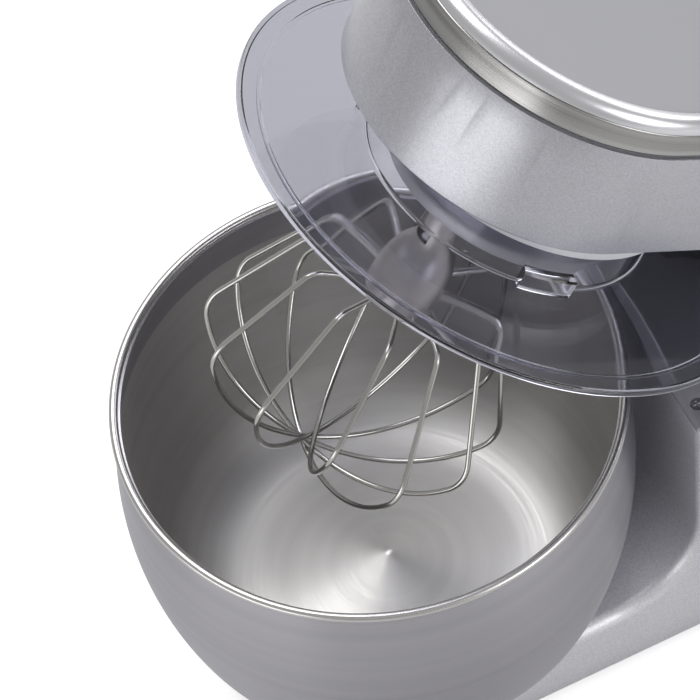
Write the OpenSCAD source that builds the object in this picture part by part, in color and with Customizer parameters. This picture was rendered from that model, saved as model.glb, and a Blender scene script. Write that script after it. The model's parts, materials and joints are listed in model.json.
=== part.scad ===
// Tilt-head planetary stand mixer of about five litres, standing with its head raised.
// X runs across, the front faces -Y and Z is up from the table. Millimetres.

/* [Bowl] */
// Radius of the bowl's rolled rim
rim_r = 115; // [112:1:117]
// Height of the rim above the table
rim_z = 190; // [188:1:192]
// Thickness of the bowl's sheet
bowl_t = 1.2; // [0.8:0.1:1.6]
// Widest radius of the bowl, half way down
belly_r = 116.5; // [115:0.5:118]
// Height of the raised centre of the bowl's floor
cone_h = 14; // [8:1:14]
// Angle that the bowl turns to lock
bowl_lock = 20; // [10:1:25]

/* [Base] */
// Half of the base's width
base_hw = 78.5; // [76:0.5:80]
// Height of the platform beside the bowl
deck_z = 43.5; // [42:0.5:45]
// Front face of the column, behind the bowl's axis
column_y = 123; // [122:1:126]
// Rear face of the column
rear_y = 235; // [234:1:238]
// Height of the column's top plate
column_z = 176; // [174:1:176]
// Radius of the curve from the platform up into the column
sweep_r = 46; // [40:1:50]
// Thickness of the base's wall
wall = 2.8; // [2:0.2:3]

/* [Head] */
// Angle of the raised head
tilt = 32; // [20:1:34]
// Hinge axis behind the bowl's axis
hinge_y = 201; // [199:1:202]
// Height of the hinge axis
hinge_z = 126; // [124:1:127]
// Half of the head's width at its lower edge
head_hw = 81; // [80:0.5:82]
// Centre of the head's round nose, from the bowl's axis
nose_y = -14; // [-16:1:-10]
// Rear end of the head
tail_y = 257; // [257:1:262]
// Underside of the head when it is lowered
head_z = 244; // [243:1:246]
// Height of the head's side wall
side_h = 57; // [55:1:58]
// Outward slope of the side wall over its height
side_flare = 3; // [0:0.5:4]

/* [Splash guard] */
// Outer radius of the guard
guard_r = 122.6; // [121:0.2:123]
// Height of the guard's disc when the head is lowered
guard_z = 205; // [204:1:207]
// Outer radius of the guard's collar
collar_r = 65; // [64:0.5:65.5]
// Outer radius of the fixed ring above the collar
ring_r = 70; // [69:0.5:72]

/* [Whisk] */
// Number of wire loops
loops = 6; // [4:1:6]
// Radius of the wire
wire_r = 1.15; // [1:0.05:1.3]
// Turn of the wire loops about the whisk's axis
wire_phase = -9; // [-15:1:15]
// Height of the lowest wire when the head is lowered
whisk_z = 47; // [47:1:52]
// Height of the whisk's hub at its mouth
hub_z = 153; // [152:1:156]

/* [Drive] */
// Gear module of every gear
gear_m = 1.5; // [1.4:0.1:1.5]
// Teeth of the fixed ring gear
ring_teeth = 58; // [56:1:58]
// Teeth of the planet gear
planet_teeth = 18; // [18:1:20]
// Teeth of the drive gear
drive_teeth = 70; // [66:2:70]
// Teeth of the pinion
pinion_teeth = 14; // [14:1:16]
// Pitch radius of the large pulley
pulley_big_r = 40; // [36:1:40]
// Pitch radius of the motor's pulley
pulley_small_r = 10; // [9:1:11]
// Place of the planet, around the drive axis
planet_angle = -75; // [-90:1:0]

/* [Hidden] */
$fn = 96;
clear = 0.3;
fit = 0.05;
// the whole part is moved so that its footprint is centred on the origin
axis_y = -117.07;

// bowl
wall_arc_r = 230;
wall_arc_z = rim_z - 52;
corner_r = 44;
bowl_floor_z = 37.07;
corner_z = bowl_floor_z + corner_r;
wall_low_a = -asin((wall_arc_z - corner_z) / (wall_arc_r - corner_r));
corner_x = belly_r - wall_arc_r + (wall_arc_r - corner_r) * cos(wall_low_a);
bead_r = 2;
cone_r = 62;
foot_r = 60;
foot_z = 25.8;
lug_r = 65.5;

// base
plate_z = 3;
nose_base_y = -7;
rear_corner = 30;
well_gap = 2.5;
recess_r = 69;
recess_z = foot_z - clear;
well_z = bowl_floor_z - well_gap;
top_plate_t = 2.5;
shell_top_z = column_z - top_plate_t;
turn_r = 50;
mouth_x = 50;
mouth_y = 126;
slot_x = 47.8;
slot_z = 128;
tray_z = 92;
tray_x = 60;
tray_t = 2.2;
front_foot_x = base_hw - 28.5;
rear_foot_x = base_hw - 18.5;
edge_x = base_hw - 8.5;
top_x = base_hw - 11.5;
foot_places = [[-front_foot_x, -42], [front_foot_x, -42], [-rear_foot_x, rear_y - 30],
    [rear_foot_x, rear_y - 30]];
base_screws = [[-edge_x, 20], [edge_x, 20], [-edge_x, column_y - 11], [edge_x, column_y - 11],
    [-30, rear_y - 5.5], [30, rear_y - 5.5]];
top_screws = [[-top_x, column_y + 4.5], [top_x, column_y + 4.5], [-top_x, 188], [top_x, 188]];
gland = [-40, rear_y, 40];

// hinge and lock
pin_r = 5;
bush_r = 7;
barrel_r = 14;
bracket_x = 50.5;
bracket_t = 7;
web_x = 40;
web_t = 6;
sector_r = 28;
bolt = [web_x + web_t / 2, hinge_y];
bolt_r = 4;
bolt_collar_r = 7;
bolt_top_z = hinge_z - sector_r - 0.5;
bolt_low_z = 66;
post_z = 50;
lever = [185, 72];
lever_r = 4;
knob = [150, 60];
knob_r = 20;

// head
neck_y = 126.5;
seam_z = column_z + 2;
seam_r = turn_r + 2;
shell_t = 2.6;
tail_corner = 30;
side_top_z = head_z + side_h;
band_z = side_top_z + 1.4;
band_h = 11;
bezel_z = band_z + band_h;
bezel_h = 6.4;
cowl_z = hinge_z + 5;
drive_hole_r = 62.5;

// drive, all heights with the head lowered
planet_off = gear_m * (ring_teeth - planet_teeth) / 2;
counter_y = gear_m * (drive_teeth + pinion_teeth) / 2;
motor_y = counter_y + 105;
chassis_z = head_z + 14;
chassis_t = 5;
shaft_r = 6;
bearing_r = 11;
counter_r = 5;
motor_r = 36;
motor_z = head_z - 54;
motor_h = 94;
rotor_r = 4;
pulley_z = head_z + 44;
pulley_h = 12;
belt_t = 1.6;
housing_r = 60;
housing_z = head_z - 25;
web_z = head_z - 8;
planet_gear_z = head_z - 22.5;
carrier_r = 54;
carrier_z = head_z - 37;
planet_r = 5;
cross_z = hub_z + 25;
chassis_screws = [[-58, -40], [58, -40], [-58, 130], [58, 130]];

// whisk, in the plane of one wire
bowl_arc_r = 77;
bend_r = 18;
bend_a = 59;
leg_a = 115;
shoulder_r = 8;
spoke_z = hub_z + 1;
wire_step = 2 * wire_r + 0.1;
wire_gap = 0.1;

// ---- frames ----

module in_base() {
    translate([0, axis_y, 0]) children();
}

module in_head() {
    in_base()
        translate([0, hinge_y, hinge_z])
            rotate([-tilt, 0, 0])
                translate([0, -hinge_y, -hinge_z]) children();
}

module in_planet() {
    in_head() rotate([0, 0, planet_angle]) translate([planet_off, 0, 0]) children();
}

// ---- shared shapes ----

module disc(r, z, h) {
    translate([0, 0, z]) cylinder(r = r, h = h);
}

module ring(r_out, r_in, z, h) {
    difference() {
        disc(r_out, z, h);
        disc(r_in, z - 1, h + 2);
    }
}

module at(places, z = 0) {
    for (p = places) translate([p[0], p[1], z]) children();
}

module along_x(x, y, z) {
    translate([x, y, z]) rotate([0, 90, 0]) children();
}

// a drawing in Y and Z, given its thickness along X
module slab_x(x, t) {
    translate([x, 0, 0]) rotate([90, 0, 90]) linear_extrude(height = t) children();
}

// outline seen from above with a round nose and round rear corners
module outline(hw, y_nose, y_rear, corner) {
    translate([0, y_nose]) circle(r = hw);
    translate([-hw, y_nose]) square([2 * hw, y_rear - corner - y_nose]);
    for (s = [-1, 1]) translate([s * (hw - corner), y_rear - corner]) circle(r = corner);
    translate([corner - hw, y_rear - corner - 1]) square([2 * (hw - corner), corner + 1]);
}

// solid whose edge follows the same outline, with a profile of [outset, height] points
module edge_solid(hw, y_nose, y_rear, corner, profile) {
    z0 = profile[0][1];
    z1 = profile[len(profile) - 1][1];
    back = y_rear - corner;
    translate([0, y_nose, 0]) rotate([0, 0, 180])
        rotate_extrude(angle = 180)
            polygon(concat([[0, z0]], [for (p = profile) [hw + p[0], p[1]]], [[0, z1]]));
    translate([0, back, 0]) rotate([90, 0, 0])
        linear_extrude(height = back - y_nose)
            polygon(concat([for (p = profile) [hw + p[0], p[1]]],
                [for (i = [len(profile) - 1:-1:0]) [-hw - profile[i][0], profile[i][1]]]));
    slab_x(corner - hw, 2 * (hw - corner))
        polygon(concat([[back - 1, z0]], [for (p = profile) [y_rear + p[0], p[1]]],
            [[back - 1, z1]]));
    for (s = [0, 1]) mirror([s, 0, 0]) translate([hw - corner, back, 0])
        rotate_extrude(angle = 90)
            polygon(concat([[0, z0]], [for (p = profile) [corner + p[0], p[1]]], [[0, z1]]));
}

// toothed outline: half widths of a tooth at root, pitch line and tip
module tooth_outline(teeth, root, tip, play) {
    pitch = gear_m * teeth / 2;
    half = 90 / teeth;
    step = 360 / teeth;
    slack = play / pitch * 180 / PI;
    radii = [pitch - root, pitch, pitch + tip];
    widths = [half * 1.45 - slack, half - slack, half * 0.45 - slack];
    polygon([for (k = [0:teeth - 1]) for (j = [0:5])
        let (i = j < 3 ? j : 5 - j, side = j < 3 ? -1 : 1, a = k * step + side * widths[i])
        radii[i] * [cos(a), sin(a)]]);
}

module gear(teeth, z, h, bore) {
    translate([0, 0, z]) difference() {
        linear_extrude(height = h) tooth_outline(teeth, 1.8, 1.05, 0.12);
        disc(bore, -1, h + 2);
    }
}

module screw(shank_r, head_r, length, head_h) {
    disc(shank_r, -length, length);
    difference() {
        disc(head_r, 0, head_h);
        for (a = [0, 90]) rotate([0, 0, a])
            translate([-head_r * 0.6, -0.4, head_h - 0.6]) cube([head_r * 1.2, 0.8, 1]);
    }
}

// ---- base ----

module base_outline(inset) {
    outline(base_hw - inset, nose_base_y, rear_y - inset, rear_corner - inset);
}

module base_side(inset) {
    front = column_y + inset;
    deck = deck_z - inset;
    top = shell_top_z - inset;
    curve_y = column_y - sweep_r;
    curve_z = deck_z + sweep_r;
    difference() {
        union() {
            translate([-100, plate_z - 10 * sign(inset)])
                square([rear_y + 100, deck - plate_z + 10 * sign(inset)]);
            translate([front, deck - 1]) square([rear_y - front, top - deck + 1]);
            translate([curve_y, deck - 1]) square([front - curve_y + 1, curve_z - deck + 1]);
        }
        translate([curve_y, curve_z]) circle(r = sweep_r + inset);
        difference() {
            translate([hinge_y, hinge_z]) square([turn_r + 1, turn_r + 1]);
            translate([hinge_y, hinge_z]) circle(r = turn_r - inset);
        }
    }
}

module base_solid(inset) {
    intersection() {
        translate([0, 0, -10]) linear_extrude(height = 200) base_outline(inset);
        slab_x(-base_hw, 2 * base_hw) base_side(inset);
    }
}

// the hollow below the bowl
module well(grow) {
    disc(corner_x, well_z - grow, 30);
    disc(recess_r + grow, recess_z - grow, 30);
    rotate_extrude() translate([corner_x, corner_z]) circle(r = corner_r + well_gap + grow);
}

module base_shell() {
    color([0.67, 0.67, 0.71]) in_base() difference() {
        union() {
            difference() {
                base_solid(0);
                difference() {
                    base_solid(wall);
                    well(wall);
                }
            }
            intersection() {
                base_solid(wall - 1);
                union() {
                    at(base_screws) disc(4, plate_z + 3, 56);
                    at(top_screws) disc(4.5, 150, 30);
                }
            }
        }
        well(0);
        at(base_screws) disc(1.5 + fit, 0, 22);
        at(top_screws) disc(2 + fit, 158, 30);
        translate([-mouth_x, mouth_y, tray_z + 20]) cube([2 * mouth_x, hinge_y - mouth_y, 100]);
        translate([-slot_x, hinge_y - 1, slot_z]) cube([2 * slot_x, 60, 60]);
        along_x(base_hw - 10, lever[0], lever[1]) cylinder(r = lever_r + fit, h = 20);
        along_x(base_hw - 10, knob[0], knob[1]) cylinder(r = 4, h = 20);
        translate(gland) rotate([90, 0, 0]) translate([0, 0, -5]) cylinder(r = 6, h = 20);
    }
}

module base_plate() {
    color([0.2, 0.2, 0.21]) in_base() difference() {
        union() {
            translate([0, 0, plate_z]) linear_extrude(height = 3) base_outline(wall + 0.2);
            translate([bolt[0], bolt[1], 0]) {
                disc(7, plate_z + 2, post_z - plate_z - 2);
                disc(2.2, post_z - 1, 7);
            }
        }
        at(foot_places) disc(4 + fit, 0, 20);
        at(base_screws) disc(1.7, 0, 20);
        for (i = [-3:3]) translate([i * 9 - 2, 60, 0]) cube([4, 40, 20]);
    }
}

module foot(place) {
    color([0.12, 0.12, 0.12]) in_base() translate([place[0], place[1], 0]) {
        rotate_extrude() polygon([[0, 0], [13, 0], [14.5, 1], [11, plate_z], [0, plate_z]]);
        disc(4, plate_z - 1, 5);
        disc(6, plate_z + 3, 1.5);
    }
}

module base_screws() {
    color([0.6, 0.6, 0.6]) in_base() at(base_screws, plate_z)
        mirror([0, 0, 1]) screw(1.5, 3, 16, 1.8);
}

module bowl_seat() {
    lip_z = recess_z + 5;
    top_z = well_z + well_gap - 1.1;
    color([0.3, 0.3, 0.32]) in_base() difference() {
        rotate_extrude() polygon([[lug_r + 0.4, recess_z], [recess_r - 0.1, recess_z],
            [recess_r - 0.1, top_z], [foot_r + 1.2, top_z], [foot_r + 1.2, lip_z],
            [lug_r + 0.4, lip_z]]);
        for (a = [0, 120, 240]) rotate([0, 0, a - bowl_lock - 1])
            rotate_extrude(angle = 16) translate([foot_r - 2, lip_z - 1])
                square([lug_r - foot_r + 2.2, 30]);
    }
}

module column_top_plate() {
    color([0.5, 0.5, 0.52]) in_base() difference() {
        intersection() {
            translate([0, 0, shell_top_z]) linear_extrude(height = top_plate_t)
                outline(base_hw, column_y, rear_y, rear_corner);
            translate([-100, column_y - 2, 0]) cube([200, hinge_y - column_y + 2, 300]);
        }
        translate([-mouth_x, mouth_y, 0]) cube([2 * mouth_x, 200, 300]);
        at(top_screws) disc(2 + fit, 0, 300);
        at(top_screws) disc(3.3, column_z - 1.2, 5);
    }
}

module column_screws() {
    color([0.75, 0.75, 0.77]) in_base() at(top_screws, column_z - 1.2)
        screw(2, 3.2, 12, 1);
}

module column_tray() {
    inner = tray_x - tray_t;
    front = mouth_y + 0.5;
    back = rear_y - wall - 0.7;
    color([0.34, 0.34, 0.36]) in_base() difference() {
        union() {
            intersection() {
                difference() {
                    translate([-tray_x, front, tray_z])
                        cube([2 * tray_x, back - front, shell_top_z - wall - tray_z]);
                    translate([-inner, front + tray_t, tray_z + 3])
                        cube([2 * inner, back - front - 2 * tray_t, 100]);
                }
                slab_x(-100, 200) base_side(wall + 0.3);
                linear_extrude(height = 300) base_outline(wall + 0.3);
            }
            translate([bolt[0], bolt[1], tray_z - 12]) cylinder(r = 7, h = 13);
        }
        translate([-slot_x, hinge_y, slot_z]) cube([2 * slot_x, 60, 60]);
        translate([bolt[0], bolt[1], 60]) cylinder(r = bolt_r + fit, h = 60);
    }
}

module hinge_bracket(side) {
    x0 = side > 0 ? bracket_x : -bracket_x - bracket_t;
    color([0.6, 0.6, 0.62]) in_base() difference() {
        union() {
            along_x(x0, hinge_y, hinge_z) cylinder(r = 16, h = bracket_t);
            translate([x0, hinge_y - 16, tray_z + 3]) cube([bracket_t, 32, hinge_z - tray_z - 3]);
        }
        along_x(x0 - 1, hinge_y, hinge_z) cylinder(r = pin_r, h = bracket_t + 2);
    }
}

module hinge_pin() {
    color([0.8, 0.8, 0.82]) in_base()
        along_x(-bracket_x - bracket_t, hinge_y, hinge_z)
            cylinder(r = pin_r, h = 2 * (bracket_x + bracket_t));
}

module lock_bolt() {
    color([0.75, 0.75, 0.78]) in_base() translate([bolt[0], bolt[1], 0]) {
        disc(bolt_r, bolt_low_z, bolt_top_z - bolt_low_z);
        disc(bolt_collar_r, bolt_low_z + 4, 3);
    }
}

module lock_spring() {
    color([0.7, 0.7, 0.7]) in_base() translate([bolt[0], bolt[1], 0])
        ring(3.6, 2.6, post_z, bolt_low_z - post_z);
}

module release_lever() {
    pad = [hinge_y, bolt_low_z + 9.5];
    inner_x = bolt[0] + bolt_collar_r + 0.6;
    color([0.35, 0.35, 0.37]) in_base() {
        along_x(inner_x, lever[0], lever[1]) cylinder(r = lever_r, h = base_hw + 4 - inner_x);
        along_x(bolt[0] + bolt_r + 0.6, pad[0], pad[1]) cylinder(r = 2, h = 5);
        slab_x(inner_x, 3) polygon([[lever[0], lever[1] + 3], [pad[0], pad[1] + 1.8],
            [pad[0], pad[1] - 1.6], [lever[0], lever[1] - 3]]);
        slab_x(base_hw + 0.6, 6) {
            translate(lever) circle(r = 11);
            translate([lever[0] - 4, lever[1] - 6]) square([34, 12]);
            translate([lever[0] + 30, lever[1]]) circle(r = 6);
        }
    }
}

module control_board() {
    color([0.1, 0.4, 0.2]) in_base() {
        translate([-52, 140, 60]) cube([80, 78, 1.6]);
        translate([-44, 150, 61.6]) cube([18, 14, 12]);
        translate([-18, 150, 61.6]) cube([12, 24, 16]);
        translate([-40, 190, 61.6]) disc(7, 0, 18);
        translate([-18, 192, 61.6]) disc(5, 0, 14);
        translate([4, 186, 61.6]) cube([16, 16, 8]);
        at([[-47, 145], [23, 145], [-47, 213], [23, 213]]) disc(3, plate_z + 3, 60 - plate_z - 3);
    }
}

module speed_switch() {
    color([0.2, 0.2, 0.22]) in_base() difference() {
        union() {
            translate([52, knob[0] - 14, knob[1] - 14]) cube([16, 28, 28]);
            along_x(68, knob[0], knob[1]) cylinder(r = 8, h = base_hw - wall - 68);
            translate([56, knob[0] - 8, plate_z + 3]) cube([8, 16, knob[1] - 14 - plate_z - 3]);
        }
        along_x(60, knob[0], knob[1]) cylinder(r = 3 + fit, h = 30);
    }
}

module speed_knob() {
    color([0.78, 0.78, 0.8]) in_base() {
        difference() {
            along_x(base_hw + 0.6, knob[0], knob[1]) cylinder(r = knob_r, h = 16);
            for (a = [0:20:340])
                along_x(base_hw + 5, knob[0], knob[1]) rotate([0, 0, a])
                    translate([knob_r + 0.6, 0, 0]) cylinder(r = 1.4, h = 20);
            along_x(base_hw + 14, knob[0], knob[1]) rotate([0, 0, 180])
                translate([8, -1, 0]) cube([9, 2, 5]);
        }
        along_x(60.5, knob[0], knob[1]) cylinder(r = 3, h = base_hw - 59);
    }
}

module safety_switch() {
    color([0.15, 0.15, 0.16]) in_base() {
        translate([tray_t - tray_x, mouth_y + 0.5 + tray_t, tray_z + 3]) cube([18, 10, 16]);
        translate([-52, mouth_y + 5, tray_z + 19]) cube([6, 5, 3]);
    }
}

module cord_gland() {
    color([0.1, 0.1, 0.1]) in_base() translate(gland) rotate([90, 0, 0]) difference() {
        union() {
            translate([0, 0, -3]) cylinder(r = 8.5, h = 3);
            cylinder(r = 6, h = 6);
        }
        translate([0, 0, -4]) cylinder(r = 3.5, h = 20);
    }
}

// ---- bowl ----

// band of constant thickness along an arc, drawn in radius and height
module arc_band(c, r, t, a0, a1) {
    far = 2 * r;
    intersection() {
        translate(c) difference() {
            circle(r = r, $fn = 360);
            circle(r = r - t, $fn = 360);
        }
        translate(c) polygon([[0, 0], far * [cos(a0), sin(a0)],
            far * [cos((a0 + a1) / 2), sin((a0 + a1) / 2)], far * [cos(a1), sin(a1)]]);
    }
}

function cone_height(r) = r > cone_r ? 0 : cone_h * pow(1 - r / cone_r, 1.6);

module bowl() {
    wall_c = [belly_r - wall_arc_r, wall_arc_z];
    bead_z = rim_z - bead_r;
    neck_a = asin((bead_z - wall_arc_z) / wall_arc_r);
    radii = [for (r = [0:4:cone_r]) r];
    steps = len(radii) - 1;
    color([0.72, 0.71, 0.7]) in_base() rotate_extrude() {
        arc_band(wall_c, wall_arc_r, bowl_t, wall_low_a, neck_a);
        arc_band([corner_x, corner_z], corner_r, bowl_t, -90, wall_low_a);
        translate([rim_r - bead_r, bead_z]) circle(r = bead_r, $fn = 48);
        polygon(concat(
            [for (i = [0:steps]) [radii[i], bowl_floor_z + cone_height(radii[i])]],
            [[corner_x, bowl_floor_z], [corner_x, bowl_floor_z + bowl_t]],
            [for (i = [steps:-1:0])
                [radii[i], bowl_floor_z + bowl_t + cone_height(radii[i])]]));
    }
}

module bowl_foot() {
    color([0.66, 0.66, 0.66]) in_base() {
        ring(foot_r, foot_r - 3, foot_z, bowl_floor_z - foot_z);
        for (a = [0, 120, 240]) rotate([0, 0, a])
            rotate_extrude(angle = 14) translate([foot_r - 1, foot_z])
                square([lug_r - foot_r + 1, 4.2]);
    }
}

// ---- head ----

module head_outline(inset) {
    outline(head_hw - inset, nose_y, tail_y - inset, tail_corner - inset);
}

module head_edge(profile) {
    edge_solid(head_hw, nose_y, tail_y, tail_corner, profile);
}

// rear part of the head that reaches down to the column
module neck_block(inset) {
    difference() {
        translate([0, 0, cowl_z - 5]) linear_extrude(height = head_z - cowl_z + 6 + 3 * inset)
            head_outline(inset);
        translate([-200, -200, 0]) cube([400, 200 + neck_y + inset, 400]);
        translate([-200, 0, 0]) cube([400, hinge_y, seam_z + inset]);
        translate([-200, hinge_y - 1, 0]) cube([400, 100, cowl_z + inset]);
        along_x(-200, hinge_y, hinge_z) cylinder(r = seam_r + inset, h = 400);
    }
}

module head_shell() {
    color([0.75, 0.75, 0.77]) in_head() difference() {
        union() {
            head_edge([[-1.2, head_z], [0, head_z + 1.2], [side_flare, side_top_z]]);
            neck_block(0);
        }
        head_edge([[-shell_t, head_z + shell_t], [side_flare - shell_t, side_top_z + 1]]);
        neck_block(shell_t);
        disc(drive_hole_r, head_z - 5, 20);
        translate([-slot_x, hinge_y - 25, seam_z - 30]) cube([2 * slot_x, 52, 45]);
    }
}

module head_cover() {
    deep = side_flare - 2.4;
    color([0.25, 0.25, 0.26]) in_head() difference() {
        union() {
            head_edge([[side_flare - 3, side_top_z], [side_flare - 3, bezel_z]]);
            head_edge([[-shell_t - 0.2, side_top_z - 4], [deep - 1, side_top_z]]);
        }
        head_edge([[-5.5, side_top_z - 5], [-4.5, bezel_z - 3]]);
    }
}

module trim_band() {
    color([0.62, 0.61, 0.6]) in_head() difference() {
        head_edge([[side_flare - 1, band_z], [side_flare - 1, bezel_z - 0.1]]);
        head_edge([[side_flare - 3 + 0.05, band_z - 1], [side_flare - 3 + 0.05, bezel_z + 1]]);
    }
}

module bezel() {
    edge = side_flare - 1;
    color([0.85, 0.85, 0.86]) in_head() difference() {
        head_edge([[edge, bezel_z], [edge, bezel_z + 1.5], [edge - 0.9, bezel_z + 3.6],
            [edge - 2.6, bezel_z + 5.4], [edge - 5, bezel_z + bezel_h]]);
        head_edge([[edge - 7, bezel_z - 1], [edge - 7, bezel_z + bezel_h + 1]]);
    }
}

module top_panel() {
    edge = side_flare - 8.4;
    color([0.63, 0.63, 0.65]) in_head()
        head_edge([[edge, bezel_z], [edge, bezel_z + bezel_h - 0.6]]);
}

module chassis() {
    color([0.55, 0.55, 0.57]) in_head() difference() {
        union() {
            intersection() {
                translate([0, 0, chassis_z]) linear_extrude(height = chassis_t)
                    outline(73, nose_y + 8, 226, 20);
                translate([-200, -70, 0]) cube([400, 400, 400]);
            }
            translate([0, counter_y, chassis_z]) cylinder(r = 13, h = 9);
            at(chassis_screws) disc(5, head_z + shell_t, chassis_z - head_z - shell_t);
        }
        disc(bearing_r, chassis_z - 1, 20);
        translate([0, counter_y, 0]) disc(8, chassis_z - 1, 20);
        translate([0, motor_y, 0]) disc(motor_r + 0.5, chassis_z - 1, 20);
        at(chassis_screws) disc(2 + fit, chassis_z - 8, 30);
    }
}

module chassis_screws() {
    color([0.7, 0.7, 0.72]) in_head() at(chassis_screws, chassis_z + chassis_t)
        screw(2, 4, 12, 2);
}

module hinge_arm() {
    color([0.42, 0.42, 0.44]) in_head() difference() {
        union() {
            for (x = [-web_x - web_t, web_x]) {
                slab_x(x, web_t) {
                    translate([hinge_y, hinge_z]) circle(r = sector_r - 6);
                    polygon([[hinge_y - 21, hinge_z], [hinge_y - 21, chassis_z],
                        [hinge_y + 21, chassis_z], [hinge_y + 21, hinge_z]]);
                }
            }
            slab_x(web_x, web_t) translate([hinge_y, hinge_z]) circle(r = sector_r);
            along_x(-bracket_x + 0.5, hinge_y, hinge_z)
                cylinder(r = barrel_r, h = 2 * bracket_x - 1);
            translate([-web_x - 1, hinge_y - 21, hinge_z + 14]) cube([2 * web_x + 2, 4, 34]);
        }
        along_x(-100, hinge_y, hinge_z) cylinder(r = bush_r, h = 200);
        for (a = [0, tilt]) slab_x(web_x - 1, web_t + 2)
            translate([hinge_y, hinge_z]) rotate(a - 90)
                translate([sector_r - 6, -bolt_r - 0.5]) square([20, 2 * bolt_r + 1]);
    }
}

module hinge_bushes() {
    color([0.75, 0.6, 0.3]) in_head() for (x = [-bracket_x + 0.5, bracket_x - 14.5])
        along_x(x, hinge_y, hinge_z) difference() {
            cylinder(r = bush_r, h = 14);
            translate([0, 0, -1]) cylinder(r = pin_r + fit, h = 16);
        }
}

module guard_ring() {
    color([0.8, 0.8, 0.81]) in_head() {
        ring(ring_r, collar_r + 1.2, head_z - 15, 15);
        ring(ring_r, housing_r + 1, head_z - 3, 3);
    }
}

module gearbox_housing() {
    color([0.6, 0.6, 0.62]) in_head() difference() {
        union() {
            ring(housing_r, housing_r - 2.5, housing_z, chassis_z - housing_z);
            disc(housing_r - 1, web_z, 4);
            disc(14, web_z, chassis_z - web_z - 8);
        }
        disc(bearing_r, web_z + 4, 20);
        disc(shaft_r + 1, web_z - 1, 20);
    }
}

module ring_gear() {
    color([0.7, 0.7, 0.65]) in_head() difference() {
        disc(housing_r - 2.5, planet_gear_z - 0.5, 12);
        rotate([0, 0, planet_angle]) translate([0, 0, planet_gear_z - 1.5])
            linear_extrude(height = 14) tooth_outline(ring_teeth, 1.05, 1.8, -0.12);
    }
}

module centre_bearings() {
    color([0.8, 0.8, 0.8]) in_head() {
        ring(bearing_r, shaft_r + fit, web_z + 4, 9);
        ring(bearing_r, shaft_r + fit, chassis_z, 7);
    }
}

module counter_bearing() {
    color([0.75, 0.6, 0.3]) in_head() translate([0, counter_y, 0])
        ring(8, counter_r + fit, chassis_z + 0.5, 8.5);
}

module motor_can() {
    color([0.4, 0.4, 0.42]) in_head() translate([0, motor_y, 0]) difference() {
        union() {
            disc(motor_r, motor_z, motor_h);
            disc(motor_r + 8, chassis_z + chassis_t, 3);
        }
        disc(motor_r - 2, motor_z + 3, motor_h - 6);
        disc(rotor_r + fit, motor_z - 1, motor_h + 2);
        for (a = [15:30:345]) rotate([0, 0, a])
            translate([motor_r - 6, -3, motor_z + 6]) cube([12, 6, 9]);
    }
}

module motor_stator() {
    color([0.5, 0.35, 0.2]) in_head() translate([0, motor_y, 0])
        ring(motor_r - 2, 20, motor_z + 20, 52);
}

module motor_rotor() {
    color([0.6, 0.6, 0.62]) in_head() translate([0, motor_y, 0]) {
        disc(rotor_r, motor_z - 2, pulley_z + pulley_h + 2 - motor_z + 2);
        disc(18, motor_z + 22, 48);
        disc(9, motor_z + 74, 12);
    }
}

module motor_fan() {
    color([0.15, 0.15, 0.15]) in_head() translate([0, motor_y, 0]) difference() {
        union() {
            disc(8, motor_z + 6, 10);
            disc(30, motor_z + 6, 1.6);
            for (a = [0:40:320]) rotate([0, 0, a])
                translate([7, -0.8, motor_z + 6]) cube([22, 1.6, 9]);
        }
        disc(rotor_r, motor_z, 30);
    }
}

module pulley(r, bore) {
    difference() {
        union() {
            disc(r, pulley_z, pulley_h);
            disc(r + 2.4, pulley_z - 1, 1);
            disc(r + 2.4, pulley_z + pulley_h, 1);
        }
        disc(bore, pulley_z - 2, pulley_h + 4);
    }
}

module motor_pulley() {
    color([0.7, 0.7, 0.72]) in_head() translate([0, motor_y, 0])
        pulley(pulley_small_r, rotor_r);
}

// points of the loop around both pulleys, at a distance from them
function belt_loop(grow) =
    let (big = pulley_big_r + grow, small = pulley_small_r + grow,
        lean = asin((big - small) / (motor_y - counter_y)))
    concat(
        [for (i = [0:36]) let (a = 180 - lean + i / 36 * (180 + 2 * lean))
            [big * cos(a), counter_y + big * sin(a)]],
        [for (i = [0:16]) let (a = lean + i / 16 * (180 - 2 * lean))
            [small * cos(a), motor_y + small * sin(a)]]);

module drive_belt() {
    color([0.1, 0.1, 0.1]) in_head() translate([0, 0, pulley_z + 1])
        linear_extrude(height = pulley_h - 2) difference() {
            polygon(belt_loop(0.15 + belt_t));
            polygon(belt_loop(0.15));
        }
}

module large_pulley() {
    color([0.25, 0.25, 0.27]) in_head() translate([0, counter_y, 0]) difference() {
        pulley(pulley_big_r, counter_r);
        for (a = [0:60:300]) rotate([0, 0, a]) translate([23, 0, 0]) disc(8, pulley_z - 5, 30);
    }
}

module counter_shaft() {
    color([0.75, 0.75, 0.77]) in_head() translate([0, counter_y, 0]) {
        disc(counter_r, chassis_z + 0.5, pulley_z + pulley_h + 2.5 - chassis_z);
        rotate([0, 0, 180 / pinion_teeth - 90]) gear(pinion_teeth, chassis_z + 11, 13, counter_r - 1);
    }
}

module drive_gear() {
    color([0.85, 0.83, 0.75]) in_head() {
        rotate([0, 0, 90]) gear(drive_teeth, chassis_z + 12, 10, shaft_r);
        ring(14, shaft_r, chassis_z + 8, 18);
    }
}

module centre_shaft() {
    color([0.78, 0.78, 0.8]) in_head() disc(shaft_r, carrier_z + 2, chassis_z + 28 - carrier_z);
}

module planet_carrier() {
    color([0.62, 0.62, 0.64]) in_head() rotate([0, 0, planet_angle]) difference() {
        union() {
            disc(carrier_r, carrier_z, 11.5);
            disc(12, carrier_z + 11, 16);
            translate([planet_off, 0, 0]) disc(11, carrier_z - 1.5, 4);
        }
        disc(shaft_r, carrier_z + 2, 60);
        translate([planet_off, 0, 0]) disc(planet_r + fit, carrier_z - 5, 40);
    }
}

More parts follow.
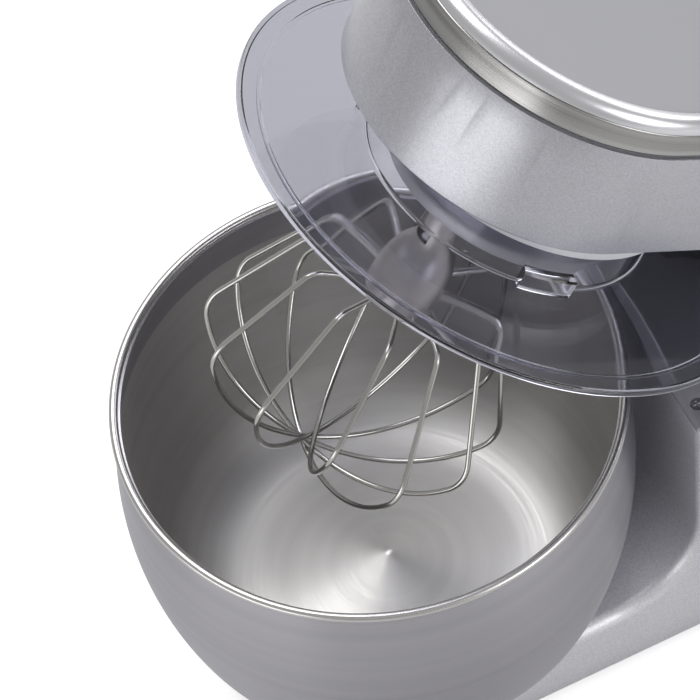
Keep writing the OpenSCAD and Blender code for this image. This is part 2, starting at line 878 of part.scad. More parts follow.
module planet_gear() {
    color([0.85, 0.83, 0.75]) in_planet() gear(planet_teeth, planet_gear_z, 11, planet_r);
}

module planet_shaft() {
    color([0.82, 0.82, 0.84]) in_planet() difference() {
        union() {
            disc(planet_r, hub_z + 14, planet_gear_z - hub_z - 1.5);
            disc(7.5, planet_gear_z - 2.7, 2.5);
            disc(7.5, carrier_z - 3.4, 1.6);
        }
        translate([-20, 0, cross_z]) rotate([0, 90, 0]) cylinder(r = 2, h = 40);
    }
}

module cross_pin() {
    color([0.82, 0.82, 0.84]) in_planet()
        translate([-7.6, 0, cross_z]) rotate([0, 90, 0]) cylinder(r = 2, h = 15.2);
}

// ---- whisk ----

module whisk_hub() {
    mouth = hub_z;
    color([0.72, 0.71, 0.69]) in_planet() difference() {
        rotate_extrude() polygon([[0, mouth], [12.5, mouth], [15, mouth + 1.6], [15.8, mouth + 4],
            [15.6, mouth + 8], [14.2, mouth + 12], [12, mouth + 15.5], [9.8, mouth + 19],
            [8.6, mouth + 23], [8.2, mouth + 28], [8.2, mouth + 44], [0, mouth + 44]]);
        disc(planet_r + fit, mouth + 13.5, 40);
        for (s = [0, 180]) rotate([0, 0, s]) {
            rotate([0, 0, -36]) rotate_extrude(angle = 36)
                translate([3.5, cross_z - 2.2]) square([9, 4.4]);
            translate([3, -2.35, cross_z - 2.25]) cube([10, 4.7, 4.5]);
            rotate([0, 0, -36]) translate([3, -2.4, cross_z - 2.35]) cube([10, 4.8, 40]);
        }
    }
}

// piece of wire along an arc in the wire's plane; the pieces meet inside small beads
module wire_arc(c, r, a0, a1) {
    trim = wire_gap / r * 180 / PI;
    translate([c[0], 0, c[1]]) rotate([90, 0, 0]) rotate([0, 0, a0 + trim])
        rotate_extrude(angle = a1 - a0 - 2 * trim) translate([r, 0]) circle(r = wire_r, $fn = 32);
}

module wire_rod(p, q) {
    d = q - p;
    translate([p[0], 0, p[1]]) rotate([0, atan2(d[0], d[1]), 0])
        translate([0, 0, wire_gap]) cylinder(r = wire_r, h = norm(d) - 2 * wire_gap, $fn = 32);
}

module wire_bead(p) {
    translate([p[0], 0, p[1]]) sphere(r = wire_r + 0.06, $fn = 32);
}

// one side of a loop, from the end of its bottom arc up and in to the hub
module loop_side(low) {
    arc_c = [0, low + bowl_arc_r];
    arc_end = arc_c + bowl_arc_r * [sin(bend_a), -cos(bend_a)];
    bend_c = arc_c + (bowl_arc_r - bend_r) * [sin(bend_a), -cos(bend_a)];
    out_a = leg_a - 90;
    leg_foot = bend_c + bend_r * [cos(out_a), sin(out_a)];
    shoulder_z = spoke_z - shoulder_r;
    rise = (shoulder_z + shoulder_r * sin(out_a) - leg_foot[1]) / sin(leg_a);
    leg_head = leg_foot + rise * [cos(leg_a), sin(leg_a)];
    shoulder_c = leg_head - shoulder_r * [cos(out_a), sin(out_a)];
    spoke_end = [shoulder_c[0], spoke_z];
    wire_arc(bend_c, bend_r, -90 + bend_a, out_a);
    wire_rod(leg_foot, leg_head);
    wire_arc(shoulder_c, shoulder_r, out_a, 90);
    wire_rod(spoke_end, [11, spoke_z]);
    for (p = [arc_end, leg_foot, leg_head, spoke_end]) wire_bead(p);
}

module whisk_wires() {
    color([0.78, 0.78, 0.78]) in_planet() for (k = [0:loops - 1])
        rotate([0, 0, wire_phase - planet_angle + 180 / loops * k]) {
            low = whisk_z + wire_r + k * wire_step;
            wire_arc([0, low + bowl_arc_r], bowl_arc_r, -90 - bend_a, -90 + bend_a);
            loop_side(low);
            rotate([0, 0, 180]) loop_side(low);
        }
}

// ---- splash guard ----

module splash_guard() {
    collar_top = head_z - 8;
    color([0.75, 0.75, 0.82, 0.35]) in_head() {
        ring(collar_r, collar_r - 2.4, guard_z, collar_top - guard_z);
        ring(collar_r + 0.9, collar_r - 1, collar_top - 3, 3);
        ring(guard_r, collar_r - 2.4, guard_z, 2.4);
        ring(guard_r, guard_r - 2.2, guard_z - 0.8, 3.2);
        ring(guard_r - 9, guard_r - 10.2, guard_z - 1.6, 2);
        for (a = [-27, 93, 213]) rotate([0, 0, a]) rotate_extrude(angle = 20)
            translate([collar_r - 1, guard_z + 1]) square([6.5, 10]);
    }
}

base_shell();
base_plate();
foot(foot_places[0]);  // foot_front_left
foot(foot_places[1]);  // foot_front_right
foot(foot_places[2]);  // foot_rear_left
foot(foot_places[3]);  // foot_rear_right
base_screws();
bowl_seat();
column_top_plate();
column_screws();
column_tray();
hinge_bracket(-1);  // hinge_bracket_left
hinge_bracket(1);  // hinge_bracket_right
hinge_pin();
lock_bolt();
lock_spring();
release_lever();
control_board();
speed_switch();
safety_switch();
cord_gland();
speed_knob();
bowl();
bowl_foot();
head_shell();
head_cover();
trim_band();
bezel();
top_panel();
chassis();
chassis_screws();
hinge_arm();
hinge_bushes();
guard_ring();
gearbox_housing();
ring_gear();
centre_bearings();
counter_bearing();
motor_can();
motor_stator();
motor_rotor();
motor_fan();
motor_pulley();
drive_belt();
large_pulley();
counter_shaft();
drive_gear();
centre_shaft();
planet_carrier();
planet_gear();
planet_shaft();
cross_pin();
whisk_hub();
whisk_wires();
splash_guard();
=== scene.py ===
import json
from math import acos, asin, atan2, cos, degrees, pi, radians, sin

import bpy
from mathutils import Matrix, Vector


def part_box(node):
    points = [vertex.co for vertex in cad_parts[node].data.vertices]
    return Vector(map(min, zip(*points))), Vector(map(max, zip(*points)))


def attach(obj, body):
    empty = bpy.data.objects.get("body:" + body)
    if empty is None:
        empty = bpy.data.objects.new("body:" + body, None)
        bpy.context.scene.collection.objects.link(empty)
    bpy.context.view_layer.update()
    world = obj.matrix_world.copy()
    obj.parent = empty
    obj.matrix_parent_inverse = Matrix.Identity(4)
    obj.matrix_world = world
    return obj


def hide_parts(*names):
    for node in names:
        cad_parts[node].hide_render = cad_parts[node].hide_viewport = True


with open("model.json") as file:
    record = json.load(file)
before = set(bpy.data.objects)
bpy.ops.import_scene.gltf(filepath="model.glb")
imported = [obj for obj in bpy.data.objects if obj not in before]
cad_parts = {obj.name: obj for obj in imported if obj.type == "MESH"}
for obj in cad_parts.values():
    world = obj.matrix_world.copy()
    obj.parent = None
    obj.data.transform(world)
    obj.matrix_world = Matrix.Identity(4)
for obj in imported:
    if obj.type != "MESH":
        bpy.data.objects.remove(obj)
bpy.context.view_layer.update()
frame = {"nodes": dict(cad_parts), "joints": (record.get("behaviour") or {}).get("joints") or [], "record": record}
joints = {joint["name"]: joint for joint in frame["joints"]}
print("frame loaded with", len(frame["nodes"]), "nodes")


def mm(value):
    return value / 1000


# places that every piece works from

bowlLow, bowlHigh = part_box("bowl")
axisY = (bowlLow.y + bowlHigh.y) / 2
rimZ = bowlHigh.z * 1000
hinge = Vector(joints["head_tilt"]["pos_m"])
driveAxis = Vector(joints["carrier_spin"]["axis"])
tilt = atan2(driveAxis.y, driveAxis.z)

basePlace = Matrix.Translation((0, axisY, 0))
headPlace = (Matrix.Translation(hinge) @ Matrix.Rotation(-tilt, 4, "X")
             @ Matrix.Translation(-hinge) @ basePlace)
planetSpot = headPlace.inverted() @ Vector(joints["planet_spin"]["pos_m"])
planetAngle = atan2(planetSpot.y, planetSpot.x)
planetPlace = (headPlace @ Matrix.Translation((planetSpot.x, planetSpot.y, 0))
               @ Matrix.Rotation(planetAngle, 4, "Z"))
hingeY = (hinge.y - axisY) * 1000
hingeZ = hinge.z * 1000


# modelling helpers, lengths in millimetres

def clearAll():
    if bpy.context.mode != "OBJECT":
        bpy.ops.object.mode_set(mode="OBJECT")
    bpy.ops.object.select_all(action="DESELECT")


def pick(piece):
    clearAll()
    piece.select_set(True)
    bpy.context.view_layer.objects.active = piece


def arcPoints(centre, radius, start, end, count):
    # points of an arc in radius and height, angles in degrees
    return [(centre[0] + radius * cos(radians(start + (end - start) * i / count)),
             centre[1] + radius * sin(radians(start + (end - start) * i / count)))
            for i in range(count + 1)]


def startLoop(name, points, closed=True):
    # a circle whose points are moved onto the profile
    clearAll()
    bpy.ops.mesh.primitive_circle_add(vertices=len(points), radius=0.01)
    piece = bpy.context.object
    piece.name = name
    for vertex, (across, up) in zip(piece.data.vertices, points):
        vertex.co = (mm(across), 0, mm(up))
    if not closed:
        last = len(points) - 1
        bpy.ops.object.mode_set(mode="EDIT")
        bpy.ops.mesh.select_all(action="DESELECT")
        bpy.ops.object.mode_set(mode="OBJECT")
        for edge in piece.data.edges:
            edge.select = set(edge.vertices) == {0, last}
        bpy.ops.object.mode_set(mode="EDIT")
        bpy.ops.mesh.select_mode(type="EDGE")
        bpy.ops.mesh.delete(type="EDGE")
        bpy.ops.object.mode_set(mode="OBJECT")
    return piece


def mergeAll(recalculate=True, distance=2e-6):
    bpy.ops.mesh.select_all(action="SELECT")
    bpy.ops.mesh.remove_doubles(threshold=distance)
    bpy.ops.mesh.dissolve_degenerate(threshold=1e-7)
    if recalculate:
        bpy.ops.mesh.select_all(action="SELECT")
        bpy.ops.mesh.normals_make_consistent(inside=False)
    bpy.ops.object.mode_set(mode="OBJECT")


def lathe(name, points, steps=160):
    piece = startLoop(name, points)
    bpy.ops.object.mode_set(mode="EDIT")
    bpy.ops.mesh.select_all(action="SELECT")
    bpy.ops.mesh.spin(steps=steps, angle=2 * pi, center=(0, 0, 0), axis=(0, 0, 1))
    mergeAll()
    return piece


def sweepRound(name, points, plan, closed=True):
    # the profile goes once round an outline with a round nose and round rear corners
    half, nose, tail, corner = (mm(plan[key]) for key in ("half", "nose", "tail", "corner"))
    piece = startLoop(name, [(plan["half"] + out, up) for out, up in points], closed)
    bpy.ops.object.mode_set(mode="EDIT")
    bpy.ops.mesh.select_all(action="SELECT")
    bpy.ops.transform.translate(value=(0, nose, 0))
    bpy.ops.mesh.spin(steps=72, angle=pi, center=(0, nose, 0), axis=(0, 0, 1))
    sides = [(0, tail - corner - nose), (2 * (half - corner), 0), (0, nose + corner - tail)]
    turns = [(corner - half, tail - corner), (half - corner, tail - corner)]
    for index, (moveX, moveY) in enumerate(sides):
        bpy.ops.mesh.extrude_region_move(TRANSFORM_OT_translate={"value": (moveX, moveY, 0)})
        if index < 2:
            bpy.ops.mesh.spin(steps=20, angle=pi / 2, axis=(0, 0, 1),
                              center=(turns[index][0], turns[index][1], 0))
    if closed:
        mergeAll()
    else:
        bpy.ops.mesh.select_all(action="SELECT")
        bpy.ops.mesh.remove_doubles(threshold=2e-6)
        bpy.ops.object.mode_set(mode="OBJECT")
    return piece


def capLevel(piece, height):
    # closes the open loop at one height with a flat face
    pick(piece)
    bpy.ops.object.mode_set(mode="EDIT")
    bpy.ops.mesh.select_mode(type="VERT")
    bpy.ops.mesh.select_all(action="DESELECT")
    bpy.ops.mesh.select_non_manifold()
    bpy.ops.object.mode_set(mode="OBJECT")
    for vertex in piece.data.vertices:
        if abs(vertex.co.z - mm(height)) > 2e-5:
            vertex.select = False
    for part in list(piece.data.edges) + list(piece.data.polygons):
        part.select = all(piece.data.vertices[i].select for i in part.vertices)
    bpy.ops.object.mode_set(mode="EDIT")
    bpy.ops.mesh.edge_face_add()
    mergeAll()


def cutAway(piece, *tools, operation="DIFFERENCE"):
    for tool in tools:
        pick(piece)
        cut = piece.modifiers.new("cut", "BOOLEAN")
        cut.object, cut.operation, cut.solver = tool, operation, "EXACT"
        bpy.ops.object.modifier_apply(modifier=cut.name)
        bpy.data.objects.remove(tool)


def block(size, centre):
    clearAll()
    bpy.ops.mesh.primitive_cube_add(size=1, location=[mm(v) for v in centre])
    piece = bpy.context.object
    piece.scale = [mm(v) for v in size]
    bpy.ops.object.transform_apply(location=True, rotation=True, scale=True)
    return piece


def drum(radius, height, base, turn=(0, 0, 0), sides=96):
    # a cylinder that stands on its base point and is then turned about it
    clearAll()
    bpy.ops.mesh.primitive_cylinder_add(vertices=sides, radius=mm(radius), depth=mm(height))
    piece = bpy.context.object
    piece.data.transform(Matrix.Translation((0, 0, mm(height) / 2)))
    piece.rotation_euler = turn
    piece.location = [mm(v) for v in base]
    bpy.ops.object.transform_apply(location=True, rotation=True, scale=True)
    return piece


def roundEdges(piece, width, segments=3, limit=30):
    pick(piece)
    bevel = piece.modifiers.new("edges", "BEVEL")
    bevel.limit_method, bevel.angle_limit = "ANGLE", radians(limit)
    bevel.width, bevel.segments = mm(width), segments
    bevel.use_clamp_overlap = True
    bpy.ops.object.modifier_apply(modifier=bevel.name)


def softCopy(node, name, width, segments=2, limit=30):
    # the solid's own shape with its hard edges broken
    piece = bpy.data.objects.new(name, frame["nodes"][node].data.copy())
    bpy.context.scene.collection.objects.link(piece)
    pick(piece)
    bpy.ops.object.mode_set(mode="EDIT")
    bpy.ops.mesh.select_all(action="SELECT")
    bpy.ops.mesh.remove_doubles(threshold=1e-6)
    bpy.ops.mesh.dissolve_limited(angle_limit=radians(0.3))
    bpy.ops.object.mode_set(mode="OBJECT")
    if piece.data.has_custom_normals:
        bpy.ops.mesh.customdata_custom_splitnormals_clear()
    roundEdges(piece, width, segments, limit)
    return piece


def finishPiece(piece, body, material, replaced=(), place=None, smooth=35):
    if place is not None:
        piece.data.transform(place)
    pick(piece)
    bpy.ops.object.shade_smooth_by_angle(angle=radians(smooth))
    piece.data.materials.clear()
    piece.data.materials.append(materials[material])
    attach(piece, body)
    if replaced:
        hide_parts(*replaced)
    print("made", piece.name)


# materials

def newGroup(name, inputs, outputs):
    group = bpy.data.node_groups.new(name, "ShaderNodeTree")
    for label, kind, value in inputs:
        socket = group.interface.new_socket(name=label, in_out="INPUT", socket_type=kind)
        if value is not None:
            socket.default_value = value
    for label, kind in outputs:
        group.interface.new_socket(name=label, in_out="OUTPUT", socket_type=kind)
    return group, group.nodes.new("NodeGroupInput"), group.nodes.new("NodeGroupOutput")


def mathNode(group, operation, first, second=None):
    node = group.nodes.new("ShaderNodeMath")
    node.operation = operation
    for slot, value in enumerate((first, second)):
        if value is None:
            continue
        if isinstance(value, (int, float)):
            node.inputs[slot].default_value = value
        else:
            group.links.new(value, node.inputs[slot])
    return node.outputs[0]


def noiseNode(group, vector, scale, detail=2.0, rough=0.5):
    node = group.nodes.new("ShaderNodeTexNoise")
    node.inputs["Detail"].default_value = detail
    node.inputs["Roughness"].default_value = rough
    group.links.new(vector, node.inputs["Vector"])
    if isinstance(scale, (int, float)):
        node.inputs["Scale"].default_value = scale
    else:
        group.links.new(scale, node.inputs["Scale"])
    return node.outputs["Fac"]


def makeGrainGroup():
    # fine even grain, and slow patches for roughness
    group, given, result = newGroup(
        "fineGrain",
        [("Vector", "NodeSocketVector", None), ("Grain Scale", "NodeSocketFloat", 900.0),
         ("Patch Scale", "NodeSocketFloat", 12.0)],
        [("Height", "NodeSocketFloat"), ("Patches", "NodeSocketFloat")])
    vector = given.outputs["Vector"]
    group.links.new(noiseNode(group, vector, given.outputs["Grain Scale"], 3.0),
                    result.inputs["Height"])
    group.links.new(noiseNode(group, vector, given.outputs["Patch Scale"], 2.0),
                    result.inputs["Patches"])
    return group


def makeLinesGroup():
    # brushing: long streaks across the group's Z
    group, given, result = newGroup(
        "brushLines",
        [("Vector", "NodeSocketVector", None), ("Line Scale", "NodeSocketFloat", 1500.0),
         ("Stretch", "NodeSocketFloat", 0.01)],
        [("Height", "NodeSocketFloat"), ("Streaks", "NodeSocketFloat")])
    split = group.nodes.new("ShaderNodeSeparateXYZ")
    join = group.nodes.new("ShaderNodeCombineXYZ")
    group.links.new(given.outputs["Vector"], split.inputs[0])
    for axis in (0, 1):
        group.links.new(mathNode(group, "MULTIPLY", split.outputs[axis],
                                 given.outputs["Stretch"]), join.inputs[axis])
    group.links.new(split.outputs[2], join.inputs[2])
    fine = noiseNode(group, join.outputs[0], given.outputs["Line Scale"], 3.0, 0.6)
    broad = noiseNode(group, join.outputs[0],
                      mathNode(group, "MULTIPLY", given.outputs["Line Scale"], 0.12), 2.0)
    group.links.new(fine, result.inputs["Height"])
    group.links.new(broad, result.inputs["Streaks"])
    return group


def makeRingsGroup():
    # spinning marks: the same brushing laid in rings round the group's Z
    group, given, result = newGroup(
        "spunRings",
        [("Vector", "NodeSocketVector", None), ("Line Scale", "NodeSocketFloat", 1200.0)],
        [("Height", "NodeSocketFloat"), ("Streaks", "NodeSocketFloat"),
         ("Radius", "NodeSocketFloat")])
    split = group.nodes.new("ShaderNodeSeparateXYZ")
    join = group.nodes.new("ShaderNodeCombineXYZ")
    group.links.new(given.outputs["Vector"], split.inputs[0])
    squares = [mathNode(group, "MULTIPLY", split.outputs[axis], split.outputs[axis])
               for axis in (0, 1)]
    radius = mathNode(group, "SQRT", mathNode(group, "ADD", squares[0], squares[1]))
    angle = mathNode(group, "ARCTAN2", split.outputs[1], split.outputs[0])
    group.links.new(radius, join.inputs[0])
    group.links.new(mathNode(group, "MULTIPLY", angle, 0.0006), join.inputs[1])
    group.links.new(split.outputs[2], join.inputs[2])
    fine = noiseNode(group, join.outputs[0], given.outputs["Line Scale"], 3.0, 0.6)
    broad = noiseNode(group, join.outputs[0],
                      mathNode(group, "MULTIPLY", given.outputs["Line Scale"], 0.1), 2.0)
    group.links.new(fine, result.inputs["Height"])
    group.links.new(broad, result.inputs["Streaks"])
    group.links.new(radius, result.inputs["Radius"])
    return group


def makeFlakeGroup():
    # metal flakes in paint: a random value for each tiny cell
    group, given, result = newGroup(
        "paintFlakes",
        [("Vector", "NodeSocketVector", None), ("Flake Scale", "NodeSocketFloat", 2200.0)],
        [("Flakes", "NodeSocketFloat"), ("Patches", "NodeSocketFloat")])
    cells = group.nodes.new("ShaderNodeTexVoronoi")
    group.links.new(given.outputs["Vector"], cells.inputs["Vector"])
    group.links.new(given.outputs["Flake Scale"], cells.inputs["Scale"])
    parts = group.nodes.new("ShaderNodeSeparateColor")
    group.links.new(cells.outputs["Color"], parts.inputs[0])
    group.links.new(parts.outputs[0], result.inputs["Flakes"])
    group.links.new(noiseNode(group, given.outputs["Vector"], 9.0, 2.0),
                    result.inputs["Patches"])
    return group


grainGroup = makeGrainGroup()
linesGroup = makeLinesGroup()
ringsGroup = makeRingsGroup()
flakeGroup = makeFlakeGroup()
materials = {}


def startMaterial(name, colour, metallic, roughness, **sockets):
    material = bpy.data.materials.new(name)
    material.use_nodes = True
    nodes = material.node_tree.nodes
    shader = nodes["Principled BSDF"]
    shader.inputs["Base Color"].default_value = (*colour, 1)
    shader.inputs["Metallic"].default_value = metallic
    shader.inputs["Roughness"].default_value = roughness
    for label, value in sockets.items():
        shader.inputs[label.replace("_", " ")].default_value = value
    materials[name] = material
    return material.node_tree, shader


def placedVector(tree, turn=(0, 0, 0), shift=(0, 0, 0)):
    coordinates = tree.nodes.new("ShaderNodeTexCoord")
    mapping = tree.nodes.new("ShaderNodeMapping")
    mapping.inputs["Rotation"].default_value = turn
    mapping.inputs["Location"].default_value = shift
    tree.links.new(coordinates.outputs["Object"], mapping.inputs["Vector"])
    return mapping.outputs["Vector"]


def addGroup(tree, group, vector, **values):
    node = tree.nodes.new("ShaderNodeGroup")
    node.node_tree = group
    tree.links.new(vector, node.inputs["Vector"])
    for label, value in values.items():
        node.inputs[label.replace("_", " ")].default_value = value
    return node


def spread(tree, value, low, high, socket, start=0.3, end=0.7):
    # the value's usual range is mapped onto low to high
    node = tree.nodes.new("ShaderNodeMapRange")
    node.inputs["From Min"].default_value = start
    node.inputs["From Max"].default_value = end
    node.inputs["To Min"].default_value = low
    node.inputs["To Max"].default_value = high
    tree.links.new(value, node.inputs["Value"])
    tree.links.new(node.outputs["Result"], socket)


def tint(tree, value, first, second, socket, start=0.3, end=0.7):
    ramp = tree.nodes.new("ShaderNodeValToRGB")
    ramp.color_ramp.elements[0].position, ramp.color_ramp.elements[1].position = start, end
    ramp.color_ramp.elements[0].color = (*first, 1)
    ramp.color_ramp.elements[1].color = (*second, 1)
    tree.links.new(value, ramp.inputs["Fac"])
    tree.links.new(ramp.outputs["Color"], socket)


def relief(tree, shader, height, strength, distance):
    bump = tree.nodes.new("ShaderNodeBump")
    bump.inputs["Strength"].default_value = strength
    bump.inputs["Distance"].default_value = distance
    tree.links.new(height, bump.inputs["Height"])
    tree.links.new(bump.outputs["Normal"], shader.inputs["Normal"])


def scaled(colour, factor):
    return tuple(channel * factor for channel in colour)


def paintMaterial(name, colour, roughness, metallic=0.75, vary=0.12):
    tree, shader = startMaterial(name, colour, metallic, roughness, Coat_Weight=0.25,
                                 Coat_Roughness=0.25)
    group = addGroup(tree, flakeGroup, placedVector(tree))
    tint(tree, group.outputs["Flakes"], scaled(colour, 1 - vary), scaled(colour, 1 + vary),
         shader.inputs["Base Color"], 0.0, 1.0)
    spread(tree, group.outputs["Patches"], roughness - 0.02, roughness + 0.03,
           shader.inputs["Roughness"])
    relief(tree, shader, group.outputs["Flakes"], 0.05, 0.0002)


def plainMaterial(name, colour, metallic, roughness, grainScale=900.0, bump=0.05, vary=0.08):
    tree, shader = startMaterial(name, colour, metallic, roughness)
    group = addGroup(tree, grainGroup, placedVector(tree), Grain_Scale=grainScale)
    tint(tree, group.outputs["Patches"], scaled(colour, 1 - vary), scaled(colour, 1 + vary),
         shader.inputs["Base Color"])
    spread(tree, group.outputs["Patches"], roughness * 0.92, roughness * 1.08,
           shader.inputs["Roughness"])
    relief(tree, shader, group.outputs["Height"], bump, 0.0003)


def ringMaterial(name, colour, roughness, place, anisotropy=0.0, lineScale=1200.0,
                 bump=0.06, vary=0.1):
    tree, shader = startMaterial(name, colour, 1.0, roughness, Anisotropic=anisotropy)
    back = place.inverted()
    vector = placedVector(tree, back.to_euler(), back.to_translation())
    group = addGroup(tree, ringsGroup, vector, Line_Scale=lineScale)
    tint(tree, group.outputs["Streaks"], scaled(colour, 1 - vary), scaled(colour, 1 + vary),
         shader.inputs["Base Color"])
    spread(tree, group.outputs["Height"], roughness * 0.85, roughness * 1.15,
           shader.inputs["Roughness"])
    relief(tree, shader, group.outputs["Height"], bump, 0.0002)
    return tree, shader


def makeMaterials():
    paintMaterial("basePaint", (0.80, 0.80, 0.84), 0.42)
    paintMaterial("headPaint", (0.50, 0.50, 0.54), 0.33)
    plainMaterial("panelGrey", (0.34, 0.34, 0.365), 0.1, 0.55, 1400.0, 0.08, 0.03)
    plainMaterial("plateGrey", (0.30, 0.30, 0.33), 0.2, 0.45, 1400.0, 0.08, 0.04)
    plainMaterial("bezelMetal", (0.74, 0.74, 0.77), 1.0, 0.30, 900.0, 0.03, 0.04)
    plainMaterial("wireSteel", (0.50, 0.49, 0.47), 1.0, 0.16, 500.0, 0.02, 0.12)
    plainMaterial("hubCast", (0.50, 0.48, 0.46), 1.0, 0.38, 700.0, 0.25, 0.18)
    plainMaterial("shaftSteel", (0.62, 0.62, 0.63), 1.0, 0.22, 900.0, 0.04, 0.08)
    plainMaterial("ringSatin", (0.84, 0.84, 0.87), 0.2, 0.4, 1100.0, 0.04, 0.04)
    plainMaterial("darkPlastic", (0.035, 0.035, 0.038), 0.0, 0.5, 1100.0, 0.15, 0.15)
    plainMaterial("trayPlastic", (0.75, 0.75, 0.78), 0.0, 0.42, 1000.0, 0.06, 0.1)
    plainMaterial("leverPlastic", (0.05, 0.05, 0.055), 0.0, 0.35, 1000.0, 0.06, 0.1)
    plainMaterial("footRubber", (0.02, 0.02, 0.02), 0.0, 0.75, 700.0, 0.3, 0.2)
    plainMaterial("castMetal", (0.42, 0.42, 0.43), 1.0, 0.42, 800.0, 0.2, 0.12)
    plainMaterial("armMetal", (0.30, 0.30, 0.31), 0.9, 0.42, 800.0, 0.15, 0.12)
    plainMaterial("gearPlastic", (0.62, 0.6, 0.52), 0.0, 0.45, 900.0, 0.06, 0.05)
    plainMaterial("bushMetal", (0.55, 0.38, 0.16), 1.0, 0.35, 900.0, 0.1, 0.12)
    plainMaterial("screwSteel", (0.66, 0.66, 0.67), 1.0, 0.25, 900.0, 0.05, 0.08)
    plainMaterial("copperWinding", (0.5, 0.2, 0.08), 1.0, 0.35, 1500.0, 0.4, 0.2)
    plainMaterial("beltRubber", (0.02, 0.02, 0.02), 0.0, 0.7, 900.0, 0.2, 0.2)
    plainMaterial("boardGreen", (0.02, 0.12, 0.05), 0.0, 0.35, 400.0, 0.1, 0.3)
    # spun steel of the bowl, with stretched highlights; the outside is a darker, bluer copy of the same steel,
    # painted shade
    for name, colour, roughness in (("bowlSteel", (0.61, 0.60, 0.59), 0.38),
                                    ("bowlOutside", (0.44, 0.43, 0.46), 0.34)):
        tree, shader = ringMaterial(name, colour, roughness, basePlace, 0.8, 1300.0, 0.04, 0.05)
        tangent = tree.nodes.new("ShaderNodeTangent")
        tangent.direction_type, tangent.axis = "RADIAL", "Z"
        shader.inputs["Anisotropic Rotation"].default_value = 0.25
        tree.links.new(tangent.outputs["Tangent"], shader.inputs["Tangent"])
    ringMaterial("rimSteel", (0.60, 0.59, 0.58), 0.26, basePlace, 0.0, 1500.0, 0.02, 0.04)
    ringMaterial("knobMetal", (0.6, 0.6, 0.62), 0.28, knobPlace, 0.0, 1500.0, 0.06, 0.06)
    # brushed band, its lines run round the head
    tree, shader = startMaterial("bandMetal", (0.34, 0.335, 0.33), 1.0, 0.24,
                                 Anisotropic=0.4)
    group = addGroup(tree, linesGroup, placedVector(tree, (tilt, 0, 0)), Line_Scale=1800.0)
    tint(tree, group.outputs["Streaks"], (0.24, 0.235, 0.23), (0.46, 0.455, 0.45),
         shader.inputs["Base Color"])
    spread(tree, group.outputs["Height"], 0.18, 0.32, shader.inputs["Roughness"])
    relief(tree, shader, group.outputs["Height"], 0.06, 0.0002)
    # clear guard with very light wipe marks
    tree, shader = startMaterial("clearGuard", (0.58, 0.58, 0.66), 0.0, 0.03,
                                 Transmission_Weight=1.0, IOR=1.49)
    group = addGroup(tree, grainGroup, placedVector(tree), Grain_Scale=60.0)
    spread(tree, group.outputs["Height"], 0.02, 0.06, shader.inputs["Roughness"])
    print("materials made:", len(materials))


knobCentre = Vector(joints["knob_turn"]["pos_m"])
knobCentre.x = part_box("speed_knob")[1].x - mm(16.4)
knobPlace = Matrix.Translation(knobCentre) @ Matrix.Rotation(pi / 2, 4, "Y")
makeMaterials()


# bowl

bowlShape = {"rimR": 115.0, "beadR": 2.0, "beadLow": 3.9, "bellyR": 116.5, "bellyDrop": 52.0,
             "wallArc": 230.0, "floorZ": 37.07, "cornerR": 44.0, "sheet": 1.2, "coneR": 62.0, "coneH": 14.0}


def makeBowl(shape):
    arcZ = rimZ - shape["bellyDrop"]
    arcX = shape["bellyR"] - shape["wallArc"]
    floorZ = shape["floorZ"]
    cornerZ = floorZ + shape["cornerR"]
    between = shape["wallArc"] - shape["cornerR"]
    lowAngle = -degrees(asin((arcZ - cornerZ) / between))
    cornerX = arcX + between * cos(radians(lowAngle))
    beadZ = rimZ - shape["beadR"]
    topAngle = degrees(asin((beadZ - shape["beadR"] * 0.6 - arcZ) / shape["wallArc"]))
    sheet = shape["sheet"]

    def cone(radius):
        if radius >= shape["coneR"]:
            return 0
        return shape["coneH"] * (1 - radius / shape["coneR"]) ** 1.6

    radii = [shape["coneR"] * i / 30 for i in range(31)]
    outer = [(r, floorZ + cone(r)) for r in radii]
    outer += arcPoints((cornerX, cornerZ), shape["cornerR"], -90, lowAngle, 28)
    outer += arcPoints((arcX, arcZ), shape["wallArc"], lowAngle, topAngle, 48)[1:]
    bead = arcPoints((shape["rimR"] - shape["beadR"], beadZ), shape["beadR"], -40, 205, 22)
    inner = arcPoints((arcX, arcZ), shape["wallArc"] - sheet, topAngle, lowAngle, 48)
    inner += arcPoints((cornerX, cornerZ), shape["cornerR"] - sheet, lowAngle, -90, 28)[1:]
    inner += [(r, floorZ + sheet + cone(r)) for r in reversed(radii)]
    piece = lathe("bowlDish", outer + bead + inner, 256)
    finishPiece(piece, "bowl", "bowlSteel", ("bowl",), basePlace, 50)
    # the rolled rim is burnished, and the outside gets a darker copy of the same steel as painted shade, so each
    # has its own finish
    piece.data.materials.append(materials["rimSteel"])
    piece.data.materials.append(materials["bowlOutside"])
    for polygon in piece.data.polygons:
        away = (polygon.center - Vector((0, axisY, polygon.center.z))).normalized()
        if polygon.center.z > mm(rimZ) - mm(shape["beadLow"]):
            polygon.material_index = 1
        # outward and downward faces take the darker steel copy: painted shade on the bowl's outside
        elif polygon.normal.z < -0.1 or away.dot(polygon.normal) > 0.6:
            polygon.material_index = 2


makeBowl(bowlShape)


# whisk

wireShape = {"loops": 6, "wireR": 1.15, "phase": -9.0, "low": 47.0, "arcR": 77.0,
             "bendR": 18.0, "bendAngle": 59.0, "legAngle": 115.0, "shoulderR": 8.0,
             "step": 2.4, "hubR": 11.0}
hubZ = 153.0  # the hub's underside, with the head lowered


